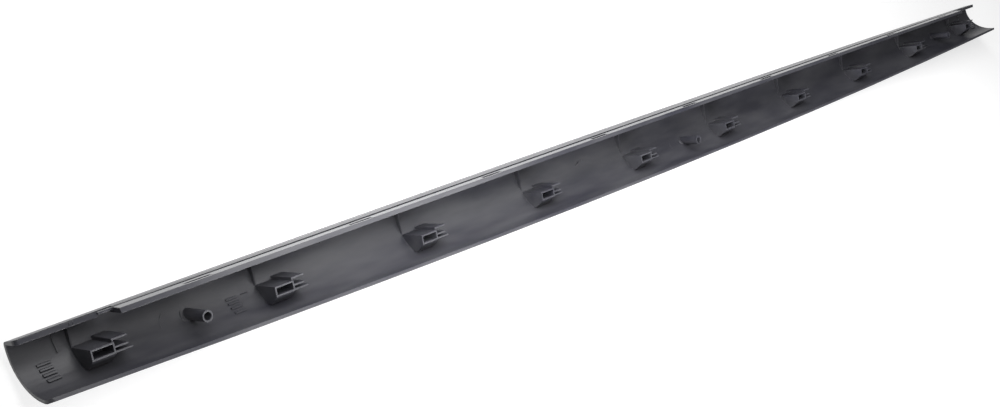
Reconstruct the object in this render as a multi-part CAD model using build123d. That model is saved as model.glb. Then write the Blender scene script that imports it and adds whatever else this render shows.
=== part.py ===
from build123d import *
import os

# One moulded channel that caps the top edge of a tailgate.
# It is drawn mouth up: X along the gate, Y from the rear skirt to the front lip,
# Z from the rounded crown up to the mouth.

# Overall size
length = 1580.0
height = 46.0
reach_end = 36.8
wall = 2.8
over = 6.0

# Bow of the part towards the middle of its length
crown_bow = 6.0
reach_bow = 14.6

# Front lip
lip_height = 29.0
lip_outer = 4.9
lip_inner = 1.3
ledge_height = 15.0
front_foot = 3.5
front_foot_bow = 2.7
front_lean = 1.6
front_round = 3.0

# Short lip at each end, with the gap between it and the long lip
end_lip_length = 62.0
end_lip_height = 17.0
end_lip_corner = 4.0
gap_length = 11.5
gap_height = 19.0
gap_floor = 9.0
gap_skin = 1.6

# Skirt edge
skirt_edge = 4.0
skirt_tuck = 1.0
skirt_corner = 7.0

# Pockets in the outer face of the lip, one between each pair of towers
pocket_first = 141.5
pocket_pitch = 163.1
pocket_length = 22.0
pocket_height = 4.5
pocket_depth = 1.4
pocket_drop = 2.4

# Clip towers
towers = 10
tower_first = 43.0
tower_pitch = 162.4
tower_drift = 9.0
tower_tip = 34.2
tower_line = 17.4
tower_line_bow = 13.7
tower_length = 18.5
tower_width = 8.2
tower_heel = 6.6
tower_heel_drop = 9.0
tower_wall = 1.3
tower_slot = 16.0
rib = 1.2
wing_length = 14.0
side_wing_length = 11.0
side_wing_out = 2.5
wing_drop = 1.0
web_height = 8.5

# Screw bosses
boss_first = 137.7
boss_tip = 34.6
boss_line = 16.3
boss_line_bow = 17.5
boss_outer = 4.6
boss_bore = 3.2
boss_bore_depth = 16.0

# Short bars on the wall beside the first and second tower from each end
bar_places = [19.5, 176.5]
bars = 4
bar_pitch = 3.2
bar_length = 10.4
bar_rise = 1.0
bar_line = 22.8
bar_line_bow = 10.0

# Low rib across the crown in front of the first and last tower
cross_rib_place = 32.4
cross_rib_near = 2.8
cross_rib_far = 14.8

# Angle at which the part comes to rest on its rounded side
roll = 27.0


def bow(x):
    return 1 - (2 * x / length - 1) ** 2


# Where the towers, pockets and bosses stand along the length
even_places = [tower_first + tower_pitch * i for i in range(towers)]
tower_places = [x - tower_drift * bow(x) for x in even_places]
pocket_places = [pocket_first + pocket_pitch * i for i in range(towers - 1)]
boss_places = [boss_first, length / 2, length - boss_first]


def crown(x):
    return -crown_bow * bow(x)


def block(x1, x2, y1, y2, z1, z2):
    return Pos((x1 + x2) / 2, (y1 + y2) / 2, (z1 + z2) / 2) * Box(x2 - x1, y2 - y1, z2 - z1)


def outer_section(x):
    # Outline of the filled channel at one place along the gate
    low = crown(x)
    side = low + height - skirt_edge
    reach = reach_end + reach_bow * bow(x)
    foot_out = front_foot + front_foot_bow * bow(x)
    front = foot_out + front_lean
    with BuildSketch(Plane((x, 0, 0), x_dir=(0, 1, 0), z_dir=(1, 0, 0))) as sketch:
        with BuildLine():
            quarter = EllipticalCenterArc((0, side), reach, height - skirt_edge, 180, arc_size=90)
            foot = Line(quarter @ 1, (foot_out - front_round, low))
            bend = RadiusArc(foot @ 1, (foot_out, low + front_round), -front_round)
            face_low = Line(bend @ 1, (front, low + ledge_height))
            ledge = Line(face_low @ 1, (lip_outer, low + ledge_height))
            face_high = Line(ledge @ 1, (lip_outer, low + lip_height))
            mouth = Line(face_high @ 1, (skirt_tuck - reach, low + height))
            Line(mouth @ 1, quarter @ 0)
        make_face()
    return sketch.sketch


def inner_section(x, depth):
    # Outline at a given depth under the outside, carried past the mouth
    low = crown(x)
    side = low + height - skirt_edge
    reach = reach_end + reach_bow * bow(x) - depth
    face = lip_outer - min(depth / wall, 1) * lip_thickness
    top = low + height + over
    with BuildSketch(Plane((x, 0, 0), x_dir=(0, 1, 0), z_dir=(1, 0, 0))) as sketch:
        with BuildLine():
            quarter = EllipticalCenterArc((0, side), reach, height - skirt_edge - depth, 180, arc_size=90)
            foot = Line(quarter @ 1, (face, low + depth))
            lip = Line(foot @ 1, (face, top))
            lid = Line(lip @ 1, (skirt_tuck - reach, top))
            edge = Line(lid @ 1, (skirt_tuck - reach, low + height))
            Line(edge @ 1, quarter @ 0)
        make_face()
    return sketch.sketch


def hollow(depth):
    places = [-over + (length + 2 * over) * i / (stations - 1) for i in range(stations)]
    return loft([inner_section(x, depth) for x in places])


def tower(left):
    # Open box for a clip, sloped down to the wall at its heel, with three ribs running on from it
    right = left + tower_length
    middle = (left + right) / 2
    low = crown(middle)
    tip = low + tower_tip
    line = -tower_line - tower_line_bow * bow(middle)
    front = line + tower_width / 2
    back = line - tower_width / 2
    heel = back - tower_heel
    base = low - over
    with BuildSketch(Plane((left, 0, 0), x_dir=(0, 1, 0), z_dir=(1, 0, 0))) as side:
        Polygon(
            (front, base),
            (front, tip),
            (back, tip),
            (heel, tip - tower_heel_drop),
            (heel, base),
            align=None,
        )
    slot = block(
        left + tower_wall,
        right - tower_wall,
        back + tower_wall,
        front - tower_wall,
        tip - tower_slot,
        tip + over,
    )
    wing = right + wing_length
    short_wing = right + side_wing_length
    top = tip - wing_drop
    aside = front + side_wing_out
    return [
        extrude(side.sketch, tower_length) - slot,
        block(right - rib, wing, back, back + rib, base, top),
        block(right - rib, short_wing, line - rib / 2, line + rib / 2, base, top),
        block(right - rib, short_wing, aside - rib, aside, base, top),
        block(right - rib, right, front - rib, aside, base, top),
        block(left, left + rib, front - rib, lip_outer, base, low + web_height),
    ]


def boss(x):
    # Tube for a screw
    line = -boss_line - boss_line_bow * bow(x)
    tip = crown(x) + boss_tip
    tall = boss_tip + over
    return Pos(x, line, tip - tall / 2) * Cylinder(boss_outer, tall)


def bore(x):
    line = -boss_line - boss_line_bow * bow(x)
    tip = crown(x) + boss_tip
    return Pos(x, line, tip - boss_bore_depth / 2) * Cylinder(boss_bore, boss_bore_depth)


# The channel itself, with its wall left between the outside and the hollow
stations = 7
lip_thickness = lip_outer - lip_inner
outer_places = [length * i / (stations - 1) for i in range(stations)]
moulding = loft([outer_section(x) for x in outer_places]) - hollow(wall)

# Cuts in the front lip
cuts = []
lip_front = front_foot + front_foot_bow + front_lean + over
for end, inward in ((0, 1), (length, -1)):
    low = crown(end_lip_length)
    top = height + over
    beyond = end - inward * over
    stop = end + inward * end_lip_length
    gap = stop + inward * gap_length
    ends = (min(beyond, stop), max(beyond, stop))
    gaps = (min(stop, gap), max(stop, gap))
    cuts.append(block(*ends, -over, lip_front, low + end_lip_height, top))
    cuts.append(block(*gaps, -over, lip_front, low + gap_height, top))
    cuts.append(block(*gaps, -over, lip_outer - gap_skin, low + gap_floor, top))
for x in pocket_places:
    top = crown(x) + lip_height - pocket_drop
    half = pocket_length / 2
    cuts.append(block(x - half, x + half, lip_outer - pocket_depth, lip_front, top - pocket_height, top))

# Rounded corners at both ends of the skirt edge and of the short lips
corners = [
    (skirt_corner, height, -reach_end - over, -reach_end / 2),
    (end_lip_corner, crown(end_lip_length) + end_lip_height, -over, lip_front),
]
for radius, top, y1, y2 in corners:
    for end, inward in ((0, 1), (length, -1)):
        axis = end + inward * radius
        beyond = end - inward * over
        foot = top - radius
        square = block(min(axis, beyond), max(axis, beyond), y1, y2, foot, top + over)
        round_edge = Pos(axis, (y1 + y2) / 2, foot) * Rot(90, 0, 0) * Cylinder(radius, y2 - y1 + over)
        cuts.append(square - round_edge)
moulding = moulding - cuts

# Everything that stands inside the channel grows out of the middle of its wall
inside = []
for x in tower_places:
    inside += tower(x)
inside += [boss(x) for x in boss_places]
root = hollow(wall / 2)
standing = Part() + inside
standing = standing & root

# Low bars and ribs on the curved wall
low_bars = []
for x in bar_places + [length - place for place in bar_places]:
    left = x - bar_length / 2
    line = -bar_line - bar_line_bow * bow(x)
    for i in range(bars):
        middle = line + (i - (bars - 1) / 2) * bar_pitch
        low_bars.append(block(left, left + bar_length, middle - rib / 2, middle + rib / 2, -over, height / 2))
for x in (cross_rib_place, length - cross_rib_place):
    low_bars.append(block(x - rib / 2, x + rib / 2, -cross_rib_far, -cross_rib_near, -over, height / 2))
ridges = (Part() + low_bars) & root
ridges = ridges - hollow(wall + bar_rise)
moulding = moulding + standing + ridges
moulding = moulding - [bore(x) for x in boss_places]

# Laid down the way it comes to rest, with the origin under its middle
moulding = Rot(roll, 0, 0) * moulding
box = moulding.bounding_box()
middle = box.center()
moulding = Pos(-middle.X, -middle.Y, -box.min.Z) * moulding
moulding = moulding.solid()
moulding.label = "tailgate_moulding"

os.makedirs("parts", exist_ok=True)
export_step(moulding, "parts/tailgate_moulding.step")
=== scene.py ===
import math
import bmesh
import bpy
from mathutils import Matrix, Vector


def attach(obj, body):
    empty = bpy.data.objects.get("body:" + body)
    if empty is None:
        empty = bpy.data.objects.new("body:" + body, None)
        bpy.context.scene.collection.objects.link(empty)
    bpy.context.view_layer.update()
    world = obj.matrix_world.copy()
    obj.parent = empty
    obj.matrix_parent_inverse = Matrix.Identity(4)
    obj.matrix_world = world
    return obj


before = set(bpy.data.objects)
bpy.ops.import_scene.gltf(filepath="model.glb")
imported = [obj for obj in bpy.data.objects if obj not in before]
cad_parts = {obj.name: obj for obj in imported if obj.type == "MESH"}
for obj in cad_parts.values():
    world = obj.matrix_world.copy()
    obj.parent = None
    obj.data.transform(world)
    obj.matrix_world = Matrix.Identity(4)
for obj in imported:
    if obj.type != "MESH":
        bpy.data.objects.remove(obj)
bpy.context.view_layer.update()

# The tailgate moulding: one piece of black ABS, injection moulded. The mould is polished where
# it makes the lip and the inside, which leaves a satin gloss with faint flow streaks, and is
# etched where it makes the round show side, which leaves a fine dull pebble grain.
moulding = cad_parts["tailgate_moulding"]

# The section as the CAD model draws it, in millimetres and mouth up: x runs along the gate,
# forward from the rear skirt to the lip, and up from the crown. It bows towards the middle.
millimetre = 0.001
length = 1580
wall = 2.8
reach_end = 36.8
reach_bow = 14.6
crown_bow = 6.0
skirt_foot = 42.0

# The part comes to rest rolled on its round side, with the drawing's origin at this corner.
roll = math.radians(27)
corner = Vector((-0.790, 0.02793, 0.01203))


# Colours are written as they look on a screen and turned into the numbers the renderer mixes.
def colour(text):
    parts = [int(text[i:i + 2], 16) / 255 for i in (1, 3, 5)]
    return [p / 12.92 if p <= 0.04045 else ((p + 0.055) / 1.055) ** 2.4 for p in parts] + [1.0]


# Adds a node. An input is a plain value, another node, or one of another node's outputs.
def node(tree, kind, settings, inputs):
    made = tree.nodes.new(kind)
    for name, value in settings.items():
        setattr(made, name, value)
    for name, value in inputs.items():
        if isinstance(value, bpy.types.Node):
            value = value.outputs[0]
        if isinstance(value, bpy.types.NodeSocket):
            tree.links.new(value, made.inputs[name])
        else:
            made.inputs[name].default_value = value
    return made


# ABS, moulded: near black, with the mild even shine of a plastic that isn't painted.
plastic = bpy.data.materials.new("moulded_black_abs")
plastic.use_nodes = True
tree = plastic.node_tree
tree.nodes.clear()

# Where a spot lies on the drawn section, in millimetres.
coordinates = node(tree, "ShaderNodeTexCoord", {}, {})
drawn = node(tree, "ShaderNodeMapping", {"vector_type": "TEXTURE"}, {
    "Vector": coordinates.outputs["Object"],
    "Location": corner,
    "Rotation": (roll, 0, 0),
    "Scale": (millimetre, millimetre, millimetre),
})
axes = node(tree, "ShaderNodeSeparateXYZ", {}, {0: drawn})
along, forward, up = axes.outputs

# The bow at that spot, from 0 at both ends of the gate to 1 in the middle.
off_middle = node(tree, "ShaderNodeMath", {"operation": "MULTIPLY_ADD"}, {0: along, 1: 2 / length, 2: -1.0})
squared = node(tree, "ShaderNodeMath", {"operation": "MULTIPLY"}, {0: off_middle, 1: off_middle})
bowed = node(tree, "ShaderNodeMath", {"operation": "SUBTRACT"}, {0: 1.0, 1: squared})
reach = node(tree, "ShaderNodeMath", {"operation": "MULTIPLY_ADD"}, {0: bowed, 1: reach_bow, 2: reach_end})
risen = node(tree, "ShaderNodeMath", {"operation": "MULTIPLY_ADD"}, {0: bowed, 1: crown_bow, 2: up})

# The show side is the outermost skin of the round wall and of the flat under the lip. The ring
# is 1 on the outside of the round wall and less inside it.
outer_ring = 0.94
flat_top = 1.0
across = node(tree, "ShaderNodeMath", {"operation": "DIVIDE"}, {0: forward, 1: reach})
down = node(tree, "ShaderNodeMath", {"operation": "MULTIPLY_ADD"}, {0: risen, 1: 1 / skirt_foot, 2: -1.0})
across_squared = node(tree, "ShaderNodeMath", {"operation": "MULTIPLY"}, {0: across, 1: across})
ring = node(tree, "ShaderNodeMath", {"operation": "MULTIPLY_ADD"}, {0: down, 1: down, 2: across_squared})
outermost = node(tree, "ShaderNodeMath", {"operation": "GREATER_THAN"}, {0: ring, 1: outer_ring})
behind = node(tree, "ShaderNodeMath", {"operation": "LESS_THAN"}, {0: forward, 1: 0.0})
round_skin = node(tree, "ShaderNodeMath", {"operation": "MULTIPLY"}, {0: outermost, 1: behind})
lowest_skin = node(tree, "ShaderNodeMath", {"operation": "LESS_THAN"}, {0: risen, 1: flat_top})
in_front = node(tree, "ShaderNodeMath", {"operation": "GREATER_THAN"}, {0: forward, 1: -0.01})
flat_skin = node(tree, "ShaderNodeMath", {"operation": "MULTIPLY"}, {0: lowest_skin, 1: in_front})
show_side = node(tree, "ShaderNodeMath", {"operation": "MAXIMUM"}, {0: round_skin, 1: flat_skin})

# The lip above its ledge.
lip_back = 1.0
lip_foot = 14.6
past_back = node(tree, "ShaderNodeMath", {"operation": "GREATER_THAN"}, {0: forward, 1: lip_back})
above_foot = node(tree, "ShaderNodeMath", {"operation": "GREATER_THAN"}, {0: risen, 1: lip_foot})
lip = node(tree, "ShaderNodeMath", {"operation": "MULTIPLY"}, {0: past_back, 1: above_foot})

# Flow streaks and softer clouds in the tint, both four times as long as wide, along the gate.
streak_width = 6.25
cloud_width = 25.0
stretch = 4
stretched = node(tree, "ShaderNodeMapping", {}, {"Vector": drawn, "Scale": (1 / stretch, 1.0, 1.0)})
streaks = node(tree, "ShaderNodeTexNoise", {}, {
    "Vector": stretched,
    "Scale": 1 / streak_width,
    "Detail": 3.0,
    "Roughness": 0.55,
})
clouds = node(tree, "ShaderNodeTexNoise", {}, {
    "Vector": stretched,
    "Scale": 1 / cloud_width,
    "Detail": 3.0,
    "Roughness": 0.6,
})
cloud_share = node(tree, "ShaderNodeMapRange", {}, {"Value": clouds, "From Min": 0.35, "From Max": 0.65})
tint = node(tree, "ShaderNodeMix", {"data_type": "RGBA"}, {
    0: cloud_share,
    6: colour("#2E2E35"),
    7: colour("#434347"),
}).outputs[2]

# The lip is the smoothest and the show side the dullest. Inside, the streaks vary the gloss.
lip_roughness = 0.2
inside_roughness = 0.35
streak_roughness = 0.10
show_roughness = 0.46
inside = node(tree, "ShaderNodeMath", {"operation": "MULTIPLY_ADD"}, {
    0: streaks,
    1: streak_roughness,
    2: inside_roughness,
})
polished = node(tree, "ShaderNodeMix", {"data_type": "FLOAT"}, {0: lip, 2: inside, 3: lip_roughness})
roughness = node(tree, "ShaderNodeMix", {"data_type": "FLOAT"}, {
    0: show_side,
    2: polished,
    3: show_roughness,
})

# The etched grain is drawn with cells of 0.9 mm, about twice as coarse as a real one, so that
# it shows. Everywhere the mould leaves faint pits and waves. All are in millimetres.
grain_cell = 0.909
grain_depth = 0.10
pit_width = 0.714
pit_depth = 0.012
wave_width = 9.09
wave_depth = 0.05
cells = node(tree, "ShaderNodeTexVoronoi", {"feature": "SMOOTH_F1"}, {
    "Vector": drawn,
    "Scale": 1 / grain_cell,
    "Smoothness": 0.6,
})
waves = node(tree, "ShaderNodeTexNoise", {}, {
    "Vector": drawn,
    "Scale": 1 / wave_width,
    "Detail": 2.0,
    "Roughness": 0.5,
})
pits = node(tree, "ShaderNodeTexNoise", {}, {
    "Vector": drawn,
    "Scale": 1 / pit_width,
    "Detail": 2.0,
    "Roughness": 0.6,
})
etched = node(tree, "ShaderNodeMath", {"operation": "MULTIPLY"}, {0: cells, 1: show_side})
grain = node(tree, "ShaderNodeMath", {"operation": "MULTIPLY"}, {0: etched, 1: grain_depth})
pitted = node(tree, "ShaderNodeMath", {"operation": "MULTIPLY_ADD"}, {0: pits, 1: pit_depth, 2: grain})
relief = node(tree, "ShaderNodeMath", {"operation": "MULTIPLY_ADD"}, {0: waves, 1: wave_depth, 2: pitted})

# Every moulded edge is slightly rounded.
edge_radius = 0.4 * millimetre
rounded = node(tree, "ShaderNodeBevel", {"samples": 6}, {"Radius": edge_radius})
bump = node(tree, "ShaderNodeBump", {}, {
    "Height": relief,
    "Normal": rounded,
    "Strength": 1.0,
    "Distance": millimetre,
})
skin = node(tree, "ShaderNodeBsdfPrincipled", {}, {
    "Base Color": tint,
    "Roughness": roughness,
    "IOR": 1.53,
    "Normal": bump,
})
node(tree, "ShaderNodeOutputMaterial", {}, {"Surface": skin})
moulding.data.materials.clear()
moulding.data.materials.append(plastic)


# Raised marks on the inner wall: the stub of the runner, a fifth short bar, the seams of the
# blocks around the bosses, and nibs of flash. They are the same black ABS, moulded in one with
# the wall, so each is a low rounded ridge that is sunk a little into it.
def bow(x):
    return 1 - (2 * x / length - 1) ** 2


def settle(vector):
    # From the drawn section to where the part rests
    return corner + (Matrix.Rotation(roll, 3, "X") @ vector) * millimetre


def on_wall(x, forward):
    # A spot on the inside of the wall, and the direction out of the wall there
    across = reach_end + reach_bow * bow(x) - wall
    deep = skirt_foot - wall
    low = -crown_bow * bow(x)
    if forward >= 0:
        return Vector((x, forward, low + wall)), Vector((0, 0, 1))
    turn = math.asin(min(1, -forward / across))
    spot = Vector((x, forward, low + skirt_foot - deep * math.cos(turn)))
    return spot, Vector((0, math.sin(turn) / across, math.cos(turn) / deep)).normalized()


def along_wall(start, stop, steps, bulge=0.0):
    # A path from start to stop, whose middle bulges towards the near end of the gate
    path = []
    for i in range(steps + 1):
        t = i / steps
        x = start[0] + (stop[0] - start[0]) * t
        forward = start[1] + (stop[1] - start[1]) * t
        path.append(on_wall(x - bulge * (1 - (2 * t - 1) ** 2), forward))
    return path


def ridge(shape, path, width, height, sink=0.25):
    # Stands on the path with a round back, and fades out at both ends
    sides = 8
    bluntness = 6
    least_width = 0.15
    rows = []
    for i, (spot, out) in enumerate(path):
        ahead = path[min(i + 1, len(path) - 1)][0] - path[max(i - 1, 0)][0]
        aside = out.cross(ahead).normalized()
        fade = math.sqrt(max(0.0, 1 - (2 * i / (len(path) - 1) - 1) ** bluntness))
        half = width / 2 * max(fade, least_width)
        row = []
        for k in range(sides + 1):
            turn = math.pi * k / sides
            lift = height * math.sin(turn) * fade - sink
            row.append(shape.verts.new(settle(spot + aside * math.cos(turn) * half + out * lift)))
        rows.append(row)
    for a, b in zip(rows, rows[1:]):
        for k in range(sides):
            shape.faces.new((a[k], b[k], b[k + 1], a[k + 1]))
        shape.faces.new((a[sides], b[sides], b[0], a[0]))
    shape.faces.new(list(reversed(rows[0])))
    shape.faces.new(rows[-1])


def finished(shape, name, smooth=True):
    bmesh.ops.recalc_face_normals(shape, faces=shape.faces)
    mesh = bpy.data.meshes.new(name)
    shape.to_mesh(mesh)
    shape.free()
    piece = bpy.data.objects.new(name, mesh)
    bpy.context.scene.collection.objects.link(piece)
    for face in mesh.polygons:
        face.use_smooth = smooth
    mesh.materials.append(plastic)
    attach(piece, "root")


# The runner stub is a short curl with a thin tail.
stub_start = (609.4, -20.2)
stub_stop = (617.4, -16.6)
tail_start = (617.0, -16.7)
tail_stop = (623.0, -17.2)
shape = bmesh.new()
ridge(shape, along_wall(stub_start, stub_stop, steps=14, bulge=-1.2), width=1.8, height=1.3)
ridge(shape, along_wall(tail_start, tail_stop, steps=10), width=1.0, height=0.6)
finished(shape, "runner_stub")

# The fifth bar lies beyond the four by the second tower.
bar_start = (185.0, -21.9)
bar_stop = (193.0, -21.9)
shape = bmesh.new()
ridge(shape, along_wall(bar_start, bar_stop, steps=8), width=1.2, height=1.0)
finished(shape, "fifth_bar")

# Each boss has a long low seam beside it and a short one close around its near side.
boss_place = 137.7
boss_line_end = -21.9
boss_line_middle = -33.8
bosses = [
    (boss_place, boss_line_end),
    (length / 2, boss_line_middle),
    (length - boss_place, boss_line_end),
]
long_seam = [(-18.4, 8.5), (-25.6, -4.0)]
short_seam = [(-4.8, 4.6), (-4.8, -4.6)]
shape = bmesh.new()
for x, line in bosses:
    start, stop = [(x + beside, line + beyond) for beside, beyond in long_seam]
    ridge(shape, along_wall(start, stop, steps=14, bulge=3.0), width=1.0, height=0.5)
    start, stop = [(x + beside, line + beyond) for beside, beyond in short_seam]
    ridge(shape, along_wall(start, stop, steps=12, bulge=2.4), width=1.2, height=0.9)
finished(shape, "boss_block_seams")

# Each nib of flash has its place along the gate, its place forward and its size.
nibs = [
    (276.5, -5.5, 2.4),
    (53.2, -19.4, 1.6),
    (819.9, -31.8, 1.6),
    (1252.0, -40.9, 1.7),
    (664.3, -26.0, 1.0),
]
shape = bmesh.new()
for x, line, size in nibs:
    path = along_wall((x - size / 2, line), (x + size / 2, line), steps=10)
    ridge(shape, path, width=size * 0.8, height=size * 0.5)
finished(shape, "flash_nibs")

# Two thin seams across the top of each short lip. They are the same plastic, pressed into the
# thin gaps around the sliding block of the mould.
seam_places = [40.6, 43.4]
seam_start = 1.4
seam_reach = 3.4
seam_top = 16.1
seam_steps = 8
shape = bmesh.new()
for end, inward in ((0, 1), (length, -1)):
    for place in seam_places:
        path = []
        for i in range(seam_steps + 1):
            spot = Vector((end + inward * place, seam_start + seam_reach * i / seam_steps, seam_top))
            path.append((spot, Vector((0, 0, 1))))
        ridge(shape, path, width=0.9, height=0.5, sink=0.1)
finished(shape, "lip_seams")

# The outer side of the lip above its ledge: the lip is drafted, so it leans in towards its top,
# and a raised bead runs along its foot with a thin groove behind it. Both are the same black
# ABS, moulded in one with the lip, and the side is cut short at each of the little pockets.
ledge_end = 5.1
ledge_bow = 2.7
ledge_height = 14.7
ledge_sink = 0.4
ledge_stand = 0.03
ledge_step = 0.2
lip_outer = 4.9
lip_height = 28.85
lip_sink = 0.1
top_stand = 0.05
bead_share = 0.52
bead_height_end = 17.5
bead_height_bow = 3.5
groove_depth = 0.5
groove_share = 0.3
groove_slope = 1.6
groove_foot = 0.1
strip_end = 74.0
pocket_count = 9
pocket_first = 141.5
pocket_pitch = 163.1
pocket_half = 11.9
pocket_edge = 0.1
pocket_foot = 24.3
strip_steps = 12


def lip_outline(x, top):
    ledge = ledge_end + ledge_bow * bow(x)
    bead = lip_outer + (ledge - lip_outer) * bead_share
    bead_top = bead_height_end + bead_height_bow * bow(x)
    groove = min(groove_depth, (ledge - lip_outer) * groove_share)
    foot = bead - groove
    lean = (foot - lip_outer - top_stand) / (lip_height - bead_top)
    outline = [
        (ledge - ledge_sink, ledge_height),
        (ledge + ledge_stand, ledge_height + ledge_step),
        (bead, bead_top),
        (bead - groove / 2, bead_top - groove_slope),
        (foot, bead_top - groove_foot),
        (foot - lean * (top - bead_top), top),
        (lip_outer - lip_sink, top),
        (lip_outer - lip_sink, ledge_height),
    ]
    return [Vector((x, stand, rise - crown_bow * bow(x))) for stand, rise in outline]


def plain_stretch(start, stop):
    return [(start + (stop - start) * (i + 1) / strip_steps, lip_height) for i in range(strip_steps)]


stations = [(strip_end, lip_height)]
for i in range(pocket_count):
    middle = pocket_first + pocket_pitch * i
    outside = pocket_half + pocket_edge
    stations += plain_stretch(stations[-1][0], middle - outside)
    stations += [(x, pocket_foot) for x in (middle - pocket_half, middle, middle + pocket_half)]
    stations.append((middle + outside, lip_height))
stations += plain_stretch(stations[-1][0], length - strip_end)
shape = bmesh.new()
rows = [[shape.verts.new(settle(spot)) for spot in lip_outline(*station)] for station in stations]
for a, b in zip(rows, rows[1:]):
    for k in range(len(a)):
        shape.faces.new((a[k], b[k], b[(k + 1) % len(a)], a[(k + 1) % len(a)]))
shape.faces.new(rows[0])
shape.faces.new(list(reversed(rows[-1])))
finished(shape, "lip_bead", smooth=False)

# The table top: matt white laminate, pressed in flat sheets. It is drawn pale grey with a glow
# that only camera and mirror rays see, so it looks white in the picture and in the plastic,
# throws no more light on the object and keeps its shadow.
bpy.ops.mesh.primitive_plane_add(size=30)
floor = bpy.context.object
floor.name = "floor"
laminate = bpy.data.materials.new("matt_white_laminate")
laminate.use_nodes = True
tree = laminate.node_tree
tree.nodes.clear()
matt = node(tree, "ShaderNodeBsdfDiffuse", {}, {"Color": colour("#C0C0C0")})
glow = node(tree, "ShaderNodeEmission", {}, {"Color": colour("#FFFFFF"), "Strength": 0.58})
both = node(tree, "ShaderNodeAddShader", {}, {0: matt, 1: glow})
ray = node(tree, "ShaderNodeLightPath", {}, {})
mirrored = node(tree, "ShaderNodeMath", {"operation": "MAXIMUM"}, {
    0: ray.outputs["Is Glossy Ray"],
    1: ray.outputs["Is Transmission Ray"],
})
seen = node(tree, "ShaderNodeMath", {"operation": "MAXIMUM"}, {
    0: ray.outputs["Is Camera Ray"],
    1: mirrored,
})
pick = node(tree, "ShaderNodeMixShader", {}, {0: seen, 1: matt, 2: both})
node(tree, "ShaderNodeOutputMaterial", {}, {"Surface": pick})
floor.data.materials.append(laminate)

# The light: a dim pale room and five plain soft boxes. Two hang low over the near half, one
# over the middle, and a large one stands on each side of the gate, so that its far end falls
# off into the dark as it does in the photograph.
scene = bpy.context.scene
scene.view_settings.view_transform = "Standard"
room = bpy.data.worlds.new("room")
scene.world = room
room.use_nodes = True
room.node_tree.nodes["Background"].inputs["Color"].default_value = colour("#E8E9EC")
room.node_tree.nodes["Background"].inputs["Strength"].default_value = 0.17


def soft_box(name, place, aim_x, wide, tall, watts):
    # Hangs at its place and faces the gate at aim_x
    lamp = bpy.data.lights.new(name, "AREA")
    lamp.shape = "RECTANGLE"
    lamp.size = wide
    lamp.size_y = tall
    lamp.energy = watts
    box = bpy.data.objects.new(name, lamp)
    scene.collection.objects.link(box)
    box.location = place
    box.rotation_euler = (Vector((aim_x, 0, 0)) - box.location).to_track_quat("-Z", "Y").to_euler()


soft_box("low_box_near_end", (-0.72, 0.1, 0.42), aim_x=0.4, wide=0.5, tall=0.4, watts=2.1)
soft_box("low_box_near_middle", (-0.5, 0.1, 0.42), aim_x=0.6, wide=0.5, tall=0.4, watts=4.2)
soft_box("box_over", (0.1, 0.13, 0.7), aim_x=0.1, wide=0.7, tall=0.5, watts=3.0)
soft_box("box_lip_side", (-0.1, 0.8, 0.6), aim_x=-0.1, wide=0.9, tall=0.9, watts=8.4)
soft_box("low_box_skirt_side", (-0.15, -0.65, 0.22), aim_x=-0.15, wide=1.0, tall=0.35, watts=15.5)

# The camera stands over the near end and looks down into the channel along its length. Its
# place and directions are given on the drawn section, and its lens in widths of the picture.
lens_in_widths = 1.266
eye = settle(Vector((-351.6, 191.0, 828.6)))
ahead = Matrix.Rotation(roll, 3, "X") @ Vector((0.7021, -0.1828, -0.6882))
above = Matrix.Rotation(roll, 3, "X") @ Vector((0.252, 0.9677, 0.0))
right = ahead.cross(above).normalized()
above = right.cross(ahead).normalized()
camera = bpy.data.objects.new("camera", bpy.data.cameras.new("camera"))
scene.collection.objects.link(camera)
camera.data.sensor_width = 36
camera.data.lens = camera.data.sensor_width * lens_in_widths
camera.data.clip_start = 0.01
camera.data.clip_end = 50
turn = Matrix((right, above, -ahead.normalized())).transposed()
camera.matrix_world = Matrix.Translation(eye) @ turn.to_4x4()
scene.camera = camera
